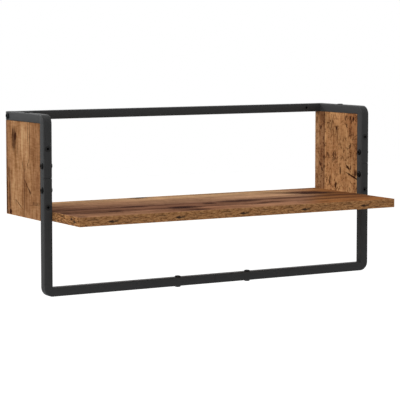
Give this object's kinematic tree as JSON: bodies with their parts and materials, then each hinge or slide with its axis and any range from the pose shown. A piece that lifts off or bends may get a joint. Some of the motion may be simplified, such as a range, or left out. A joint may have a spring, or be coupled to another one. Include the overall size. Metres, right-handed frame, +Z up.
{
  "type": "wall shelf with hanging bar",
  "caption": "Wall shelf on a folded square-tube steel frame: wooden sides, a deep wooden board, a rear fixing rail and a low bar to hang things from.",
  "frame": {"origin": "midway between the wall-screw holes, on the wall face of the rear rail", "axes": "+X to the right along the wall, +Y into the wall, +Z up; the shelf's front faces -Y"},
  "size_m": [0.6544, 0.25, 0.3034],
  "materials": {
    "frame_black": "matt black powder coat",
    "screw_black": "satin black",
    "splice_steel": "dull black phosphate",
    "cam_zinc": "satin zinc",
    "old_wood": "matt weathered-plank decor",
    "old_wood_edging": "matt weathered-plank decor",
    "dowel_wood": "plain beech",
    "plug_plastic": "black"
  },
  "bodies": {
    "root": {"rear_rail": "frame_black", "upper_left_frame": "frame_black", "upper_right_frame": "frame_black", "lower_left_frame": "frame_black", "lower_right_frame": "frame_black", "bar_splice": "splice_steel", "left_leg_splice": "splice_steel", "right_leg_splice": "splice_steel", "bar_splice_screws": "screw_black", "left_leg_splice_screws": "screw_black", "right_leg_splice_screws": "screw_black", "left_rail_nut": "splice_steel", "right_rail_nut": "splice_steel", "left_rail_bolt": "screw_black", "right_rail_bolt": "screw_black", "left_arm_end_plug": "plug_plastic", "right_arm_end_plug": "plug_plastic", "left_side_panel": "old_wood", "right_side_panel": "old_wood", "left_panel_bottom_edging": "old_wood_edging", "right_panel_bottom_edging": "old_wood_edging", "left_panel_back_edging": "old_wood_edging", "right_panel_back_edging": "old_wood_edging", "left_panel_front_screws": "screw_black", "right_panel_front_screws": "screw_black", "left_panel_top_screw": "screw_black", "right_panel_top_screw": "screw_black", "shelf_board": "old_wood", "shelf_front_edging": "old_wood_edging", "shelf_back_edging": "old_wood_edging", "shelf_left_edging": "old_wood_edging", "shelf_right_edging": "old_wood_edging", "left_cam_bolts": "cam_zinc", "right_cam_bolts": "cam_zinc", "left_cam_locks": "cam_zinc", "right_cam_locks": "cam_zinc", "left_dowel": "dowel_wood", "right_dowel": "dowel_wood"}
  },
  "joints": []
}
